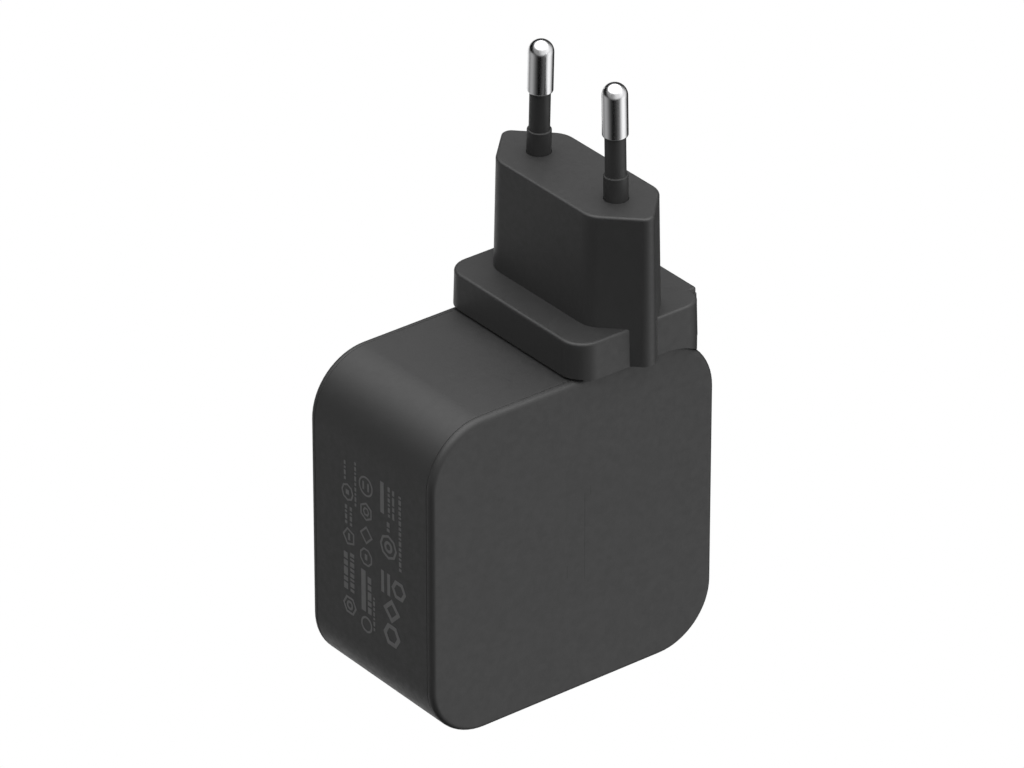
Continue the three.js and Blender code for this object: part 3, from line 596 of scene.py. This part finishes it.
adapter = make_adapter_shell()
soften(adapter, 0.08 * MM, 2, 50)
shade(adapter)
finish_piece(adapter, adapter_plastic, "plug_adapter", "adapter_shell")


def make_tab():
    """Thumb pad whose face leans out to a lower lip, with its stem and latch finger."""
    lean = math.tan(math.radians(2)) * (TAB_TOP - TAB_BOTTOM)
    back = BASE_RIGHT - 1.4 * MM
    arcs = corner_arcs(
        [(back, TAB_BOTTOM), (tab_high.x, TAB_BOTTOM), (tab_high.x - lean, TAB_TOP), (back, TAB_TOP)],
        0.12 * MM)
    rim = 0.2 * MM
    profile = [*reversed(fillet(0, tab_low.y, rim, -1, 4)), *fillet(0, tab_high.y, rim, 1, 4)]
    pad = sweep("release_tab_pad", arcs, profile, along_y, 4)
    stem = box(
        "stem", (tab_low.x, -FINGER_HALF, STEM_LOW), (back + 0.5 * MM, FINGER_HALF, STEM_HIGH))
    finger = box(
        "finger", (tab_low.x, -FINGER_HALF, tab_low.z),
        (tab_low.x + 0.8 * MM, FINGER_HALF, STEM_LOW + MM))
    return boolean(pad, [stem, finger], "UNION")


tab = soften(make_tab(), 0.06 * MM, 2, 50)
shade(tab)
finish_piece(tab, adapter_plastic, "release_tab", "release_tab")

# ---------------------------------------------------------------------------
# Pins
# ---------------------------------------------------------------------------


def lathe(name, profile, side, steps=48):
    """Turned piece about a pin's axis, leaning towards the other pin."""
    bm = bmesh.new()
    rings = []
    for radius, height in profile:
        if radius <= 0:
            rings.append([bm.verts.new((0, 0, height))])
            continue
        rings.append([
            bm.verts.new((
                radius * math.cos(2 * math.pi * k / steps),
                radius * math.sin(2 * math.pi * k / steps),
                height))
            for k in range(steps)
        ])
    for lower, upper in zip(rings, rings[1:]):
        for k in range(steps):
            j = (k + 1) % steps
            face = [lower[k % len(lower)], lower[j % len(lower)],
                    upper[j % len(upper)], upper[k % len(upper)]]
            face = list(dict.fromkeys(face))
            if len(face) > 2:
                bm.faces.new(face)
    bmesh.ops.remove_doubles(bm, verts=bm.verts, dist=1e-8)
    turn = Matrix.Rotation(side * PIN_LEAN, 4, "X")
    foot = Matrix.Translation((PLUG_X, side * PIN_OFFSET, PLUG_TOP))
    bmesh.ops.transform(bm, matrix=foot @ turn, verts=bm.verts)
    return new_object(name, bm)


def arc_profile(centre_r, centre_h, radius, start, end, steps):
    points = []
    for k in range(steps + 1):
        angle = math.radians(start + (end - start) * k / steps)
        points.append((centre_r + radius * math.cos(angle), centre_h + radius * math.sin(angle)))
    return points


def make_pin(name, side):
    core, radius = 1.3 * MM, 2 * MM
    sleeve, length = 10.3 * MM, 19 * MM
    round_low = 0.35 * MM
    profile = [(0, -15 * MM), (core, -15 * MM), (core, sleeve)]
    profile += arc_profile(radius - round_low, sleeve + round_low, round_low, -90, 0, 6)
    profile += [(radius, sleeve + 3 * MM)]
    profile += arc_profile(0, length - radius, radius, 0, 90, 16)[:-1]
    profile += [(0, length)]
    return lathe(name, profile, side)


def make_sleeve(name, side):
    bore, thin, collar = 1.35 * MM, 1.63 * MM, 1.9 * MM
    low, high = -1.65 * MM, 10.25 * MM
    soft = 0.12 * MM
    profile = [(bore, low), (collar, low)]
    ledge = 3.85 * MM
    profile += arc_profile(collar - soft, ledge - soft, soft, 0, 90, 3)
    profile += [(thin + 0.05 * MM, ledge), (thin, ledge + 0.05 * MM)]
    profile += arc_profile(thin - soft, high - soft, soft, 0, 90, 3)
    profile += [(bore, high), (bore, low)]
    return lathe(name, profile, side)


for pin_name, pin_side in (("front", -1), ("rear", 1)):
    pin = shade(make_pin(f"pin_{pin_name}_metal", pin_side), 40)
    finish_piece(pin, nickel, "plug_adapter", f"plug_pin_{pin_name}")
    sleeve = shade(make_sleeve(f"pin_{pin_name}_sleeve", pin_side), 50)
    finish_piece(sleeve, sleeve_plastic, "plug_adapter", f"pin_sleeve_{pin_name}")

# ---------------------------------------------------------------------------
# Printed marks on the left side
# ---------------------------------------------------------------------------

INK_THICKNESS = 0.02 * MM
INK_SINK = 0.01 * MM


def ink_prism(bm, points, hole=()):
    """Thin raised patch of ink on the left side, from (y, z) points in millimetres."""
    outer = -HALF - INK_THICKNESS
    inner = -HALF + INK_SINK
    loops = [[[bm.verts.new((x, y * MM, z * MM)) for y, z in ring] for x in (outer, inner)]
             for ring in (points, hole) if len(ring)]
    count = len(points)
    for face_side, backside in loops:
        for i in range(count):
            j = (i + 1) % count
            bm.faces.new((face_side[i], face_side[j], backside[j], backside[i]))
    if len(loops) == 1:
        bm.faces.new(loops[0][0])
        bm.faces.new(loops[0][1])
        return
    for level in (0, 1):
        around, within = loops[0][level], loops[1][level]
        for i in range(count):
            j = (i + 1) % count
            bm.faces.new((around[i], around[j], within[j], within[i]))


def round_points(y, z, radius, steps, turn=0.0):
    angles = [turn + 2 * math.pi * k / steps for k in range(steps)]
    return [(y + radius * math.cos(a), z + radius * math.sin(a)) for a in angles]


def ink_ring(bm, y, z, radius, line=0.28, steps=40, turn=0.0):
    inner = round_points(y, z, radius - line / math.cos(math.pi / steps), steps, turn)
    ink_prism(bm, round_points(y, z, radius, steps, turn), inner)


def ink_bar(bm, y, z, length, width):
    """Bar centred at y, running up from z."""
    ink_prism(bm, [(y - width / 2, z), (y + width / 2, z),
                   (y + width / 2, z + length), (y - width / 2, z + length)])


def ink_dashes(bm, y, low, high, width, rhythm):
    """Row of short dashes, with lengths that repeat a rhythm."""
    z = low
    k = 0
    while z + rhythm[k % len(rhythm)] <= high:
        length = rhythm[k % len(rhythm)]
        ink_bar(bm, y, z, length, width)
        z += length + 0.32
        k += 1


def make_print():
    """Three columns of plain shapes and dashes, with no letters and no real symbols."""
    bm = bmesh.new()
    short, long = (0.5, 0.8, 0.35, 0.65), (1.1, 0.7, 1.4, 0.9)
    # Rear column
    ink_ring(bm, 5.4, 15.6, 1.7, 0.35, 6)
    ink_ring(bm, 5.4, 15.6, 0.8, 0.4)
    ink_dashes(bm, 6.3, 18.2, 25.6, 1.0, long)
    ink_dashes(bm, 4.7, 18.2, 25.2, 1.0, short)
    ink_ring(bm, 5.4, 27.7, 1.6, 0.3, 5)
    ink_bar(bm, 5.4, 27.1, 1.2, 0.5)
    ink_dashes(bm, 6.1, 29.8, 33.4, 0.55, short)
    ink_dashes(bm, 4.9, 29.8, 33.4, 0.55, short)
    ink_ring(bm, 5.7, 35.4, 1.5, 0.3, 8)
    ink_bar(bm, 5.7, 35.0, 0.8, 0.8)
    ink_dashes(bm, 6.3, 37.4, 41.2, 0.42, short)
    ink_dashes(bm, 3.7, 33.8, 41.8, 0.42, short)
    # Middle column
    ink_ring(bm, 1.2, 14.2, 1.4, 0.35)
    ink_bar(bm, 1.9, 16.4, 7.2, 1.1)
    ink_dashes(bm, 0.4, 16.4, 23.8, 0.9, long)
    ink_dashes(bm, -0.7, 14.0, 20.0, 0.4, short)
    ink_ring(bm, 1.2, 26.1, 1.6, 0.3, 8, math.pi / 8)
    ink_bar(bm, 1.2, 25.6, 1.0, 0.6)
    ink_ring(bm, 1.1, 30.0, 1.6, 0.3, 4)
    ink_ring(bm, 1.1, 34.1, 1.6, 0.3, 6, math.pi / 6)
    ink_ring(bm, 1.1, 34.1, 0.8, 0.28, 6)
    ink_ring(bm, 1.1, 38.5, 1.7, 0.3)
    ink_bar(bm, 0.5, 37.8, 1.4, 0.4)
    ink_bar(bm, 1.7, 37.8, 1.4, 0.4)
    # Front column
    ink_ring(bm, -5.1, 15.3, 2.1, 0.7, 6)
    ink_ring(bm, -5.1, 19.6, 2.1, 0.65, 4)
    ink_bar(bm, -2.9, 22.0, 3.8, 0.7)
    ink_bar(bm, -4.4, 22.0, 3.8, 0.7)
    ink_ring(bm, -6.9, 24.0, 1.8, 0.6, 6)
    ink_ring(bm, -4.4, 30.5, 2.1, 0.4, 8)
    ink_ring(bm, -4.4, 30.5, 1.0, 0.5)
    ink_dashes(bm, -7.3, 27.6, 41.2, 0.6, short)
    ink_dashes(bm, -4.4, 33.2, 35.2, 0.7, short)
    ink_bar(bm, -2.95, 35.8, 5.4, 0.9)
    ink_dashes(bm, -4.6, 35.8, 41.4, 0.5, short)
    ink_dashes(bm, -5.7, 35.8, 41.4, 0.5, long)
    return new_object("side_print", bm)


finish_piece(make_print(), print_ink, "charger")


def make_front_mark():
    """Three hairlines on the front face, 0.005 mm proud, in a darker tint that paints the shade of
    debossed lines.
    """
    bm = bmesh.new()
    face = -BACK - 0.005 * MM
    width = 0.16 * MM
    for x, low, high in ((3.15, 33.6, 35.2), (2.05, 19.2, 34.3), (-1.28, 20.5, 22.7)):
        made = bmesh.ops.create_cube(bm, size=1)["verts"]
        bmesh.ops.scale(bm, vec=(width, 0.04 * MM, (high - low) * MM), verts=made)
        bmesh.ops.translate(bm, vec=(x * MM, face + 0.02 * MM, (low + high) / 2 * MM), verts=made)
    return new_object("front_mark", bm)


# The hairlines carry painted groove shade, not a colour of their own
finish_piece(make_front_mark(), painted_groove_shade, "charger")

# ---------------------------------------------------------------------------
# Floor, lights and camera
# ---------------------------------------------------------------------------


def by_ray(tree, seen, unseen):
    """Mixes two shaders: what the camera sees directly, and what lights the object."""
    path = tree.nodes.new("ShaderNodeLightPath")
    mix = tree.nodes.new("ShaderNodeMixShader")
    tree.links.new(path.outputs["Is Camera Ray"], mix.inputs["Fac"])
    tree.links.new(unseen, mix.inputs[1])
    tree.links.new(seen, mix.inputs[2])
    return mix.outputs["Shader"]


def make_floor():
    """Plain white to the camera; light passes through it, so it hides none of the studio."""
    bm = bmesh.new()
    bmesh.ops.create_grid(bm, x_segments=1, y_segments=1, size=6)
    bmesh.ops.translate(bm, vec=(0, 0, -0.1 * MM), verts=bm.verts)
    floor = new_object("floor", bm)
    n = Nodes("floor_white")
    white = n.add("ShaderNodeEmission")
    white.inputs["Strength"].default_value = 1.0
    clear = n.add("ShaderNodeBsdfTransparent")
    out = n.tree.nodes["Material Output"]
    n.link(by_ray(n.tree, white.outputs[0], clear.outputs[0]), out.inputs["Surface"])
    n.tree.nodes.remove(n.shader)
    floor.data.materials.append(n.material)


class Sky:
    """Node helper for the studio's light as a function of direction."""

    def __init__(self, tree):
        self.tree = tree
        self.place = tree.nodes.new("ShaderNodeTexCoord").outputs["Generated"]
        split = tree.nodes.new("ShaderNodeSeparateXYZ")
        tree.links.new(self.place, split.inputs["Vector"])
        self.height = split.outputs["Z"]

    def math(self, operation, first, second):
        node = self.tree.nodes.new("ShaderNodeMath")
        node.operation = operation
        for value, socket in ((first, node.inputs[0]), (second, node.inputs[1])):
            if isinstance(value, (int, float)):
                socket.default_value = value
            else:
                self.tree.links.new(value, socket)
        return node.outputs["Value"]

    def step(self, value, low, high):
        node = self.tree.nodes.new("ShaderNodeMapRange")
        node.interpolation_type = "SMOOTHSTEP"
        node.inputs["From Min"].default_value = low
        node.inputs["From Max"].default_value = high
        self.tree.links.new(value, node.inputs["Value"])
        return node.outputs["Result"]

    def above(self, tilt, low, high):
        node = self.tree.nodes.new("ShaderNodeVectorMath")
        node.operation = "DOT_PRODUCT"
        node.inputs[1].default_value = tilt
        self.tree.links.new(self.place, node.inputs[0])
        return self.step(node.outputs["Value"], low, high)

    def around(self, lights):
        """Level by azimuth of a ring of lights; the ramp starts at 180 degrees."""
        turn = 360 / RING_STEPS
        levels = [ring_level(lights, 180 + k * turn) for k in range(RING_STEPS)]
        ring = self.tree.nodes.new("ShaderNodeTexGradient")
        ring.gradient_type = "RADIAL"
        self.tree.links.new(self.place, ring.inputs["Vector"])
        ramp = self.tree.nodes.new("ShaderNodeValToRGB")
        elements = ramp.color_ramp.elements
        while len(elements) < len(levels) + 1:
            elements.new(0.5)
        for k, element in enumerate(elements):
            level = levels[k % len(levels)] / RING_PEAK
            element.position = k / len(levels)
            element.color = (level, level, level, 1)
        self.tree.links.new(ring.outputs["Fac"], ramp.inputs["Fac"])
        return self.math("MULTIPLY", ramp.outputs["Color"], RING_PEAK)

    def band(self, low, high, soft=0.12):
        rise = self.step(self.height, low - soft, low + soft)
        fall = self.step(self.height, high - soft, high + soft)
        return self.math("MULTIPLY", rise, self.math("SUBTRACT", 1, fall))


# Soft boxes and white cards, each as azimuth and half width in degrees (0 is +X), and level
LOW_LIGHTS = [
    (311, 12, 1.15),     # tall box to the right of the camera
    (76, 15, 0.92),      # box behind the object
    (145, 8, 0.4),       # card behind it on the left
    (180, 0, 0.1),       # faint card on the left
    (265, 0, 0.12),      # faint card in front
]
MIDDLE_LIGHTS = [
    (297, 50, 0.55),     # wide box in front, on the right
    (312, 15, 0.35),     # top of the tall box
]
FADE = 30                # degrees over which a light falls off past its half width
RING_STEPS = 24
RING_PEAK = 1.3
CEILING_TILT = (-0.4, -0.5, 1.0)
CEILING_LEVEL = 0.27
OVERHEAD_LEVEL = 2.45


def ring_level(lights, azimuth):
    """Sum of what a ring's lights give in one direction."""
    total = 0
    for centre, half_width, level in lights:
        away = abs((azimuth - centre + 180) % 360 - 180)
        total += level * min(1, max(0, (half_width + FADE - away) / FADE))
    return total


def make_world():
    """Soft ceiling, a bright overhead light, and two rings of soft boxes and white cards."""
    world = bpy.data.worlds.new("studio")
    world.use_nodes = True
    tree = world.node_tree
    lit = tree.nodes["Background"]
    sky = Sky(tree)
    parts = [
        sky.math("MULTIPLY", sky.above(CEILING_TILT, 0.25, 0.6), CEILING_LEVEL),
        sky.math("MULTIPLY", sky.step(sky.height, 0.55, 0.8), OVERHEAD_LEVEL),
        sky.math("MULTIPLY", sky.around(LOW_LIGHTS), sky.band(-0.88, -0.1)),
        sky.math("MULTIPLY", sky.around(MIDDLE_LIGHTS), sky.band(-0.1, 0.64)),
    ]
    total = parts[0]
    for part in parts[1:]:
        total = sky.math("ADD", total, part)
    tree.links.new(total, lit.inputs["Strength"])
    white = tree.nodes.new("ShaderNodeBackground")
    white.inputs["Color"].default_value = (1, 1, 1, 1)
    out = tree.nodes["World Output"]
    lit.inputs["Color"].default_value = (1, 1, 1, 1)
    tree.links.new(by_ray(tree, white.outputs[0], lit.outputs[0]), out.inputs["Surface"])
    scene.world = world


def make_camera():
    """The photograph's viewpoint: azimuth, elevation, distance and a long lens, no shift."""
    azimuth = math.radians(37.937)
    elevation = math.radians(29.973)
    distance = 1.2147
    aside, up_by = -0.000123, 0.040811
    right = Vector((math.cos(azimuth), -math.sin(azimuth), 0))
    back = Vector((
        -math.sin(azimuth) * math.cos(elevation),
        -math.cos(azimuth) * math.cos(elevation),
        math.sin(elevation)))
    up = back.cross(right)
    data = bpy.data.cameras.new("camera")
    data.sensor_width = 36
    data.lens = 278.09
    data.clip_start = 0.05
    data.clip_end = 50
    camera = bpy.data.objects.new("camera", data)
    camera.location = back * distance + right * aside + up * up_by
    camera.rotation_mode = "QUATERNION"
    camera.rotation_quaternion = Matrix((right, up, back)).transposed().to_quaternion()
    scene.collection.objects.link(camera)
    scene.camera = camera


make_floor()
make_world()
make_camera()
scene.view_settings.view_transform = "Standard"
